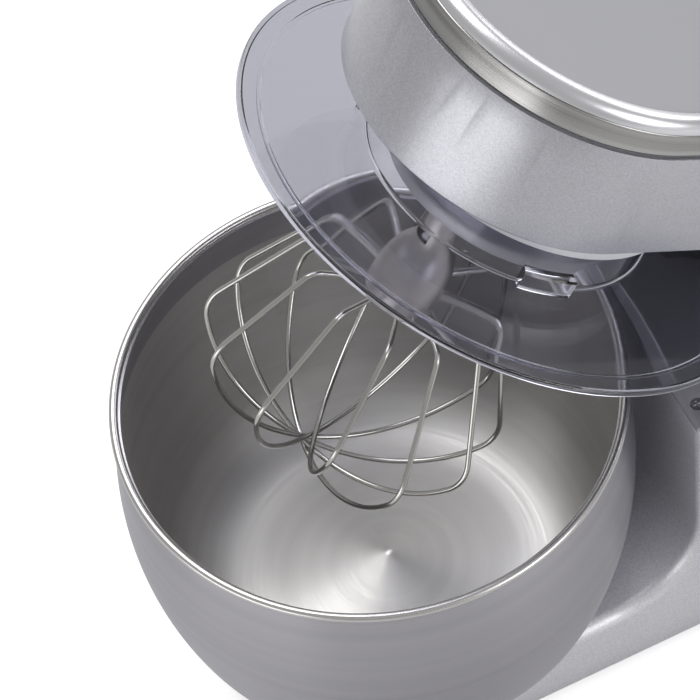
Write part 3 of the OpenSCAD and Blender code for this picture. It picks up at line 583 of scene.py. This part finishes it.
def loopHalf(shape, low):
    # points from the lowest point out, up and in to the hub, in radius and height
    bend, out = shape["bendAngle"], shape["legAngle"] - 90
    arcZ = low + shape["arcR"]
    inset = shape["arcR"] - shape["bendR"]
    bendCentre = (inset * sin(radians(bend)), arcZ - inset * cos(radians(bend)))
    footX = bendCentre[0] + shape["bendR"] * cos(radians(out))
    footZ = bendCentre[1] + shape["bendR"] * sin(radians(out))
    spokeZ = hubZ + 1
    shoulderZ = spokeZ - shape["shoulderR"]
    rise = ((shoulderZ + shape["shoulderR"] * sin(radians(out)) - footZ)
            / sin(radians(shape["legAngle"])))
    headX = footX + rise * cos(radians(shape["legAngle"]))
    shoulderX = headX - shape["shoulderR"] * cos(radians(out))
    points = arcPoints((0, arcZ), shape["arcR"], -90, bend - 90, 22)
    points += arcPoints(bendCentre, shape["bendR"], bend - 90, out, 10)[1:]
    points += arcPoints((shoulderX, shoulderZ), shape["shoulderR"], out, 90, 8)
    points.append((shape["hubR"], spokeZ))
    return points


def makeWires(shape):
    wires = []
    for index in range(shape["loops"]):
        low = shape["low"] + shape["wireR"] + index * shape["step"]
        turn = radians(shape["phase"] + index * 180 / shape["loops"]) - planetAngle
        half = loopHalf(shape, low)
        path = [(-r, z) for r, z in reversed(half[1:])] + half
        curve = bpy.data.curves.new("wire", "CURVE")
        curve.dimensions, curve.bevel_depth = "3D", mm(shape["wireR"])
        curve.bevel_resolution, curve.use_fill_caps = 5, True
        spline = curve.splines.new("POLY")
        spline.points.add(len(path) - 1)
        for point, (r, z) in zip(spline.points, path):
            point.co = (mm(r) * cos(turn), mm(r) * sin(turn), mm(z), 1)
        wire = bpy.data.objects.new("wire", curve)
        bpy.context.scene.collection.objects.link(wire)
        wires.append(wire)
    clearAll()
    for wire in wires:
        wire.select_set(True)
    bpy.context.view_layer.objects.active = wires[0]
    bpy.ops.object.convert(target="MESH")
    bpy.ops.object.join()
    piece = bpy.context.object
    piece.name = "whiskCage"
    bpy.ops.object.mode_set(mode="EDIT")
    mergeAll()
    finishPiece(piece, "whisk", "wireSteel", ("whisk_wires",), planetPlace, 60)


def makeHub():
    crossZ = hubZ + 25
    outline = ([(0, hubZ + 1.2), (3, hubZ + 1.0), (11.2, hubZ)]
               + arcPoints((13.3, hubZ + 2.4), 2.4, -90, 0, 6)
               + [(15.8, hubZ + 4.2), (15.75, hubZ + 6.5), (15.3, hubZ + 9.0),
                  (14.5, hubZ + 11.3), (13.3, hubZ + 13.6), (11.9, hubZ + 15.7),
                  (10.6, hubZ + 17.6), (9.6, hubZ + 19.6), (8.95, hubZ + 21.6),
                  (8.6, hubZ + 24), (8.3, hubZ + 28), (8.2, hubZ + 32)]
               + arcPoints((7.4, hubZ + 43.2), 0.8, 0, 90, 4)
               + [(5.9, hubZ + 44), (5.1, hubZ + 43.4), (5.1, hubZ + 13.4), (0, hubZ + 13.4)])
    piece = lathe("whiskHub", outline, 128)
    for side in (0, pi):
        cutters = []
        leg = block((9, 4.7, 40), (8.0, 0, crossZ - 2.3 + 20))
        leg.data.transform(Matrix.Rotation(radians(-36) + side, 4, "Z"))
        cutters.append(leg)
        end = block((9, 4.6, 4.5), (8.0, 0, crossZ))
        end.data.transform(Matrix.Rotation(side, 4, "Z"))
        cutters.append(end)
        arc = startLoop("slotArc", [(3.6, crossZ - 2.2), (12.4, crossZ - 2.2),
                                    (12.4, crossZ + 2.2), (3.6, crossZ + 2.2)])
        bpy.ops.object.mode_set(mode="EDIT")
        bpy.ops.mesh.select_all(action="SELECT")
        bpy.ops.mesh.edge_face_add()
        bpy.ops.mesh.spin(steps=12, angle=radians(36), center=(0, 0, 0), axis=(0, 0, 1))
        mergeAll()
        arc.data.transform(Matrix.Rotation(side, 4, "Z"))
        cutters.append(arc)
        cutAway(piece, *cutters)
    finishPiece(piece, "whisk", "hubCast", ("whisk_hub",), planetPlace, 40)


makeWires(wireShape)
makeHub()


# splash guard and its ring

guardShape = {"outer": 122.6, "level": 205.0, "sheet": 2.4, "collar": 65.0, "top": 236.0,
              "skirt": 0.8, "tabs": (-27, 93, 213), "tabTurn": 20}


def makeGuard(shape):
    outer, level, sheet = shape["outer"], shape["level"], shape["sheet"]
    collar, top = shape["collar"], shape["top"]
    inner = collar - sheet
    low = level - shape["skirt"]
    outline = ([(inner, level + 1.2)] + arcPoints((inner + 1.2, level + 1.2), 1.2, 180, 270, 4)
               + [(outer - 10.6, level), (outer - 10.4, level - 1.2), (outer - 9.2, level - 1.2),
                  (outer - 9.0, level), (outer - 2.5, level), (outer - 2.2, low + 0.2),
                  (outer - 2.0, low)]
               + arcPoints((outer - 0.7, low + 0.7), 0.7, 270, 360, 5)
               + arcPoints((outer - 1.2, level + sheet - 1.2), 1.2, 0, 90, 6)
               + [(collar + 2.0, level + sheet)]
               + arcPoints((collar + 1.8, level + sheet + 1.8), 1.8, 270, 180, 5)
               + [(collar, top - 3.4), (collar + 0.8, top - 3.0), (collar + 0.8, top - 0.5),
                  (collar + 0.3, top), (inner + 0.5, top), (inner, top - 0.5)])
    piece = lathe("guardDisc", outline, 200)
    for start in shape["tabs"]:
        tab = startLoop("tab", [(collar - 1, level + 1), (collar + 5.5, level + 1),
                                (collar + 5.5, level + 10.2), (collar + 4.7, level + 11),
                                (collar - 1, level + 11)])
        bpy.ops.object.mode_set(mode="EDIT")
        bpy.ops.mesh.select_all(action="SELECT")
        bpy.ops.mesh.edge_face_add()
        bpy.ops.mesh.spin(steps=14, angle=-radians(shape["tabTurn"]), center=(0, 0, 0),
                          axis=(0, 0, 1))
        mergeAll()
        tab.data.transform(Matrix.Rotation(radians(start), 4, "Z"))
        cutAway(piece, tab, operation="UNION")
    finishPiece(piece, "guard", "clearGuard", ("splash_guard",), headPlace, 35)


def makeGuardRing():
    outline = ([(66.2, 229.6)] + arcPoints((66.8, 229.6), 0.6, 180, 270, 4)
               + arcPoints((69.0, 230.0), 1.0, 270, 360, 5)
               + [(70, 243.4), (69.4, 244), (61, 244), (61, 241), (66.2, 241)])
    piece = lathe("guardRingTrim", outline, 200)
    finishPiece(piece, "head", "ringSatin", ("guard_ring",), headPlace, 35)


makeGuard(guardShape)
makeGuardRing()


# head

headPlan = {"half": 81.0, "nose": -14.0, "tail": 257.0, "corner": 30.0}
headShape = {"flare": 3.0, "bandLow": 302.4, "bezelLow": 313.4, "bezelTop": 319.8}


def makeBand(shape):
    low, top, out = shape["bandLow"], shape["bezelLow"], shape["flare"] - 1
    points = [(out - 1.9, low), (out - 0.3, low), (out, low + 0.3), (out, top - 0.5),
              (out - 0.3, top - 0.15), (out - 1.9, top - 0.15)]
    piece = sweepRound("bandTrim", points, headPlan)
    finishPiece(piece, "head", "bandMetal", ("trim_band",), headPlace, 35)


def makeBezel(shape):
    low, top, out = shape["bezelLow"], shape["bezelTop"], shape["flare"] - 1
    points = ([(out - 7, low), (out - 0.3, low), (out, low + 0.3)]
              + arcPoints((out - 5.6, top - 5.6), 5.6, 8, 86, 10)
              + [(out - 6.7, top), (out - 7, top - 0.3)])
    piece = sweepRound("bezelTrim", points, headPlan)
    finishPiece(piece, "head", "bezelMetal", ("bezel",), headPlace, 40)


def makeTopPanel(shape):
    low, top, out = shape["bezelLow"], shape["bezelTop"] - 0.6, shape["flare"] - 8.4
    points = [(out, low), (out, top - 0.5), (out - 0.15, top - 0.15), (out - 0.6, top)]
    piece = sweepRound("topSheet", points, headPlan, closed=False)
    capLevel(piece, low)
    capLevel(piece, top)
    finishPiece(piece, "head", "panelGrey", ("top_panel",), headPlace, 30)


makeBand(headShape)
makeBezel(headShape)
makeTopPanel(headShape)
finishPiece(softCopy("head_shell", "headSide", 0.9, 3), "head", "headPaint",
            ("head_shell",))


# base

basePlan = {"half": 78.5, "nose": -7.0, "tail": 235.0, "corner": 30.0}
baseShape = {"low": 3.0, "deck": 43.5, "column": 123.0, "sweep": 46.0, "top": 173.5,
             "turn": 50.0, "edge": 7.0, "wall": 2.6, "trayLow": 92.0, "wellX": 63.57,
             "wellZ": 81.07, "wellR": 46.5, "recess": 69.0, "recessZ": 25.5}


def planBlock(plan, inset, low, high):
    # a block with the base's plan, inset by a wall
    points = [(-inset, low), (-inset, (low + high) / 2), (-inset, high)]
    piece = sweepRound("planBlock", points, plan, closed=False)
    capLevel(piece, low)
    capLevel(piece, high)
    return piece


def makeBase(plan, shape):
    deck, column, sweep = shape["deck"], shape["column"], shape["sweep"]
    curveY, curveZ = column - sweep, deck + sweep
    rise = degrees(acos((plan["tail"] - hingeY) / shape["turn"]))
    crown = degrees(asin((shape["top"] - hingeZ) / shape["turn"]))
    side = ([(-120, shape["low"]), (plan["tail"] + 5, shape["low"])]
            + [(plan["tail"] + 5, hingeZ + shape["turn"] * sin(radians(rise)) - 8)]
            + arcPoints((hingeY, hingeZ), shape["turn"], rise - 8, crown, 12)
            + [(column, shape["top"])]
            + arcPoints((curveY, curveZ), sweep, 0, -90, 24)
            + [(-120, deck)])
    piece = startLoop("baseBody", side)
    piece.data.transform(Matrix.Rotation(pi / 2, 4, "Z"))
    bpy.ops.object.mode_set(mode="EDIT")
    bpy.ops.mesh.select_all(action="SELECT")
    bpy.ops.mesh.edge_face_add()
    bpy.ops.transform.translate(value=(mm(100), 0, 0))
    bpy.ops.mesh.extrude_region_move(TRANSFORM_OT_translate={"value": (mm(-200), 0, 0)})
    mergeAll()
    cutAway(piece, planBlock(plan, 0, -5, 300), operation="INTERSECT")
    # the long edges between the sides and the top are broad and round
    pick(piece)
    bpy.ops.object.mode_set(mode="EDIT")
    bpy.ops.mesh.select_all(action="SELECT")
    bpy.ops.mesh.remove_doubles(threshold=1e-5)
    bpy.ops.mesh.select_mode(type="EDGE")
    bpy.ops.mesh.select_all(action="DESELECT")
    bpy.ops.object.mode_set(mode="OBJECT")
    faces = {}
    for polygon in piece.data.polygons:
        for key in polygon.edge_keys:
            faces.setdefault(key, []).append(polygon)
    for edge in piece.data.edges:
        pair = faces.get(tuple(sorted(edge.vertices)), [])
        ends = [piece.data.vertices[i].co for i in edge.vertices]
        if len(pair) != 2 or min(end.z for end in ends) < mm(shape["low"]) + 0.001:
            continue
        if max(end.y for end in ends) > mm(column) + 0.001:
            continue
        onTop = [face for face in pair if face.normal.z > 0.02
                 or abs(face.center.y - mm(column)) < 0.0001 and face.normal.y < -0.9]
        if len(onTop) == 1 and pair[0].normal.angle(pair[1].normal) > radians(40):
            edge.select = True
    bpy.ops.object.mode_set(mode="EDIT")
    bpy.ops.mesh.bevel(offset=mm(shape["edge"]), segments=6, affect="EDGES",
                       clamp_overlap=False)
    mergeAll()
    # hollow under the bowl
    start = -degrees(acos((shape["recess"] - shape["wellX"]) / shape["wellR"]))
    well = ([(0, shape["recessZ"]), (shape["recess"], shape["recessZ"])]
            + arcPoints((shape["wellX"], shape["wellZ"]), shape["wellR"], start, 0, 20)
            + [(shape["wellX"] + shape["wellR"], 150), (0, 150)])
    cutters = [lathe("well", well, 160)]
    wall, trayLow = shape["wall"], shape["trayLow"]
    hollow = planBlock(plan, wall, -5, trayLow - wall)
    cutAway(hollow, block((200, 300, 200), (0, column + wall - 150, 50)))
    cutters += [hollow, planBlock(plan, wall, -5, shape["recessZ"] - wall)]
    cutters.append(block((121, 105.5, 150), (0, 126.2 + 105.5 / 2, trayLow - 0.3 + 75)))
    cutters.append(block((95.6, 60, 90), (0, 230, 128 + 45)))
    leverY, leverZ = (Vector(joints["lever_turn"]["pos_m"]) - Vector((0, axisY, 0))).yz * 1000
    knobY, knobZ = (knobCentre - Vector((0, axisY, 0))).yz * 1000
    cutters.append(drum(4.05, 30, (70, leverY, leverZ), (0, pi / 2, 0)))
    cutters.append(drum(4.0, 30, (70, knobY, knobZ), (0, pi / 2, 0)))
    cutters.append(drum(6.0, 20, (-40, 245, 40), (pi / 2, 0, 0)))
    cutAway(piece, *cutters)
    roundEdges(piece, 0.5, 2, 35)
    finishPiece(piece, "base", "basePaint", ("base_shell",), basePlace, 30)


makeBase(basePlan, baseShape)


# controls

def makeKnob():
    # a ribbed grip that narrows towards its face, with a pointer line
    outline = ([(0, -1.2), (3, -1.2), (3, 0.6), (20, 0.6)]
               + arcPoints((19.0, 1.6), 1.0, -90, 0, 4)
               + [(19.6, 8), (19.2, 14.2)] + arcPoints((17.4, 14.6), 1.8, 0, 90, 6)
               + [(15.5, 16.4), (14.8, 15.6), (0, 15.6)])
    piece = lathe("speedKnob", outline, 180)
    for index in range(30):
        angle = 2 * pi * index / 30
        cutter = drum(0.9, 14, (20.4 * cos(angle), 20.4 * sin(angle), 3.5), sides=12)
        cutAway(piece, cutter)
    cutAway(piece, block((9, 1.4, 2), (-10.2, 0, 16.0)))
    finishPiece(piece, "knob", "knobMetal", ("speed_knob",), knobPlace, 35)


makeKnob()


# solids that keep their own shape

softNodes = {"release_lever": ("lever", "leverPlastic", 0.8),
             "hinge_arm": ("head", "armMetal", 0.6),
             "column_tray": ("base", "trayPlastic", 0.5),
             "column_top_plate": ("base", "plateGrey", 0.35),
             "planet_carrier": ("carrier", "castMetal", 0.5),
             "bowl_seat": ("base", "darkPlastic", 0.3),
             "cord_gland": ("base", "darkPlastic", 0.5),
             "bowl_foot": ("bowl", "rimSteel", 0.3)}
slotFinish = {"base_paint": "basePaint", "head_paint": "headPaint", "panel_grey": "plateGrey",
              "bezel_metal": "bezelMetal", "band_metal": "bandMetal", "bowl_steel": "rimSteel",
              "wire_steel": "wireSteel", "hub_cast": "hubCast", "shaft_steel": "shaftSteel",
              "clear_guard": "clearGuard", "ring_plastic": "ringSatin",
              "dark_plastic": "darkPlastic", "tray_plastic": "trayPlastic",
              "lever_plastic": "leverPlastic", "knob_metal": "knobMetal",
              "foot_rubber": "footRubber", "cast_metal": "castMetal",
              "gear_plastic": "gearPlastic", "bush_metal": "bushMetal",
              "bearing_steel": "shaftSteel", "screw_steel": "screwSteel",
              "copper_winding": "copperWinding", "belt_rubber": "beltRubber",
              "board_green": "boardGreen"}
nodeSlots = {entry["node"]: entry["material_slot"] for entry in frame["record"]["subparts"]}

for node, (body, material, width) in softNodes.items():
    words = node.split("_")
    name = words[0] + "".join(word.capitalize() for word in words[1:]) + "Soft"
    finishPiece(softCopy(node, name, width), body, material, (node,))

for node, piece in frame["nodes"].items():
    finish = materials[slotFinish[nodeSlots[node]]]
    if not piece.data.materials:
        piece.data.materials.append(finish)
    for index in range(len(piece.data.materials)):
        piece.data.materials[index] = finish
print("solids dressed:", len(frame["nodes"]))


# floor, light and camera

def makeFloor():
    clearAll()
    bpy.ops.mesh.primitive_plane_add(size=12, location=(0, 0, 0))
    floor = bpy.context.object
    floor.name = "floor"
    material = bpy.data.materials.new("floorWhite")
    material.use_nodes = True
    nodes, links = material.node_tree.nodes, material.node_tree.links
    nodes.clear()
    path = nodes.new("ShaderNodeLightPath")
    matte = nodes.new("ShaderNodeBsdfDiffuse")
    matte.inputs["Color"].default_value = (0.8, 0.8, 0.8, 1)
    glow = nodes.new("ShaderNodeEmission")
    glow.inputs["Color"].default_value = (1, 1, 1, 1)
    strength = nodes.new("ShaderNodeMath")
    strength.operation = "MULTIPLY"
    strength.inputs[1].default_value = 0.56
    both = nodes.new("ShaderNodeAddShader")
    result = nodes.new("ShaderNodeOutputMaterial")
    links.new(path.outputs["Is Camera Ray"], strength.inputs[0])
    links.new(strength.outputs[0], glow.inputs["Strength"])
    links.new(matte.outputs[0], both.inputs[0])
    links.new(glow.outputs[0], both.inputs[1])
    links.new(both.outputs[0], result.inputs["Surface"])
    floor.data.materials.append(material)


def makeWorld():
    world = bpy.data.worlds.new("studio")
    bpy.context.scene.world = world
    world.use_nodes = True
    nodes, links = world.node_tree.nodes, world.node_tree.links
    background = nodes["Background"]
    background.inputs["Color"].default_value = (1, 1, 1, 1)
    path = nodes.new("ShaderNodeLightPath")
    seen = nodes.new("ShaderNodeMath")
    seen.operation = "MAXIMUM"
    links.new(path.outputs["Is Camera Ray"], seen.inputs[0])
    links.new(path.outputs["Is Transmission Ray"], seen.inputs[1])
    level = nodes.new("ShaderNodeMapRange")
    level.inputs["To Min"].default_value = 0.47
    level.inputs["To Max"].default_value = 1.0
    links.new(seen.outputs[0], level.inputs["Value"])
    links.new(level.outputs["Result"], background.inputs["Strength"])


def addLamp(name, place, target, size, power):
    lamp = bpy.data.lights.new(name, "AREA")
    lamp.shape, lamp.size, lamp.size_y, lamp.energy = "RECTANGLE", size[0], size[1], power
    holder = bpy.data.objects.new(name, lamp)
    bpy.context.scene.collection.objects.link(holder)
    holder.visible_camera = False
    holder.location = place
    holder.rotation_euler = (Vector(target) - Vector(place)).to_track_quat("-Z", "Y").to_euler()


def makeCamera():
    azimuth, elevation, roll = radians(70.40), radians(56.24), radians(-7.71)
    offset = Vector((0.9093, -0.3296, 1.4816))  # from the middle of the bowl's rim
    back = Vector((sin(azimuth) * cos(elevation), -cos(azimuth) * cos(elevation),
                   sin(elevation)))
    level = Vector((cos(azimuth), sin(azimuth), 0))
    lift = back.cross(level)
    right = cos(roll) * level + sin(roll) * lift
    up = back.cross(right)
    camera = bpy.data.cameras.new("camera")
    camera.lens, camera.sensor_width = 207.1, 36.0
    holder = bpy.data.objects.new("camera", camera)
    bpy.context.scene.collection.objects.link(holder)
    turn = Matrix((right, up, back)).transposed().to_4x4()
    holder.matrix_world = (Matrix.Translation(Vector((0, axisY, mm(rimZ))) + offset) @ turn)
    bpy.context.scene.camera = holder


makeFloor()
makeWorld()
middle = (0, 0, 0.25)
addLamp("key", (-0.85, -0.1, 1.8), middle, (1.3, 1.3), 17)
addLamp("fill", (1.55, 0.8, 1.0), middle, (1.0, 0.9), 10)
addLamp("back", (-0.4, 1.8, 1.3), middle, (1.4, 0.6), 8)
addLamp("front", (0.34, -1.05, 0.2), (0, -0.1, 0.33), (0.8, 0.36), 1.7)
makeCamera()
view = bpy.context.scene.view_settings
view.view_transform = "Standard"
print("stage set")
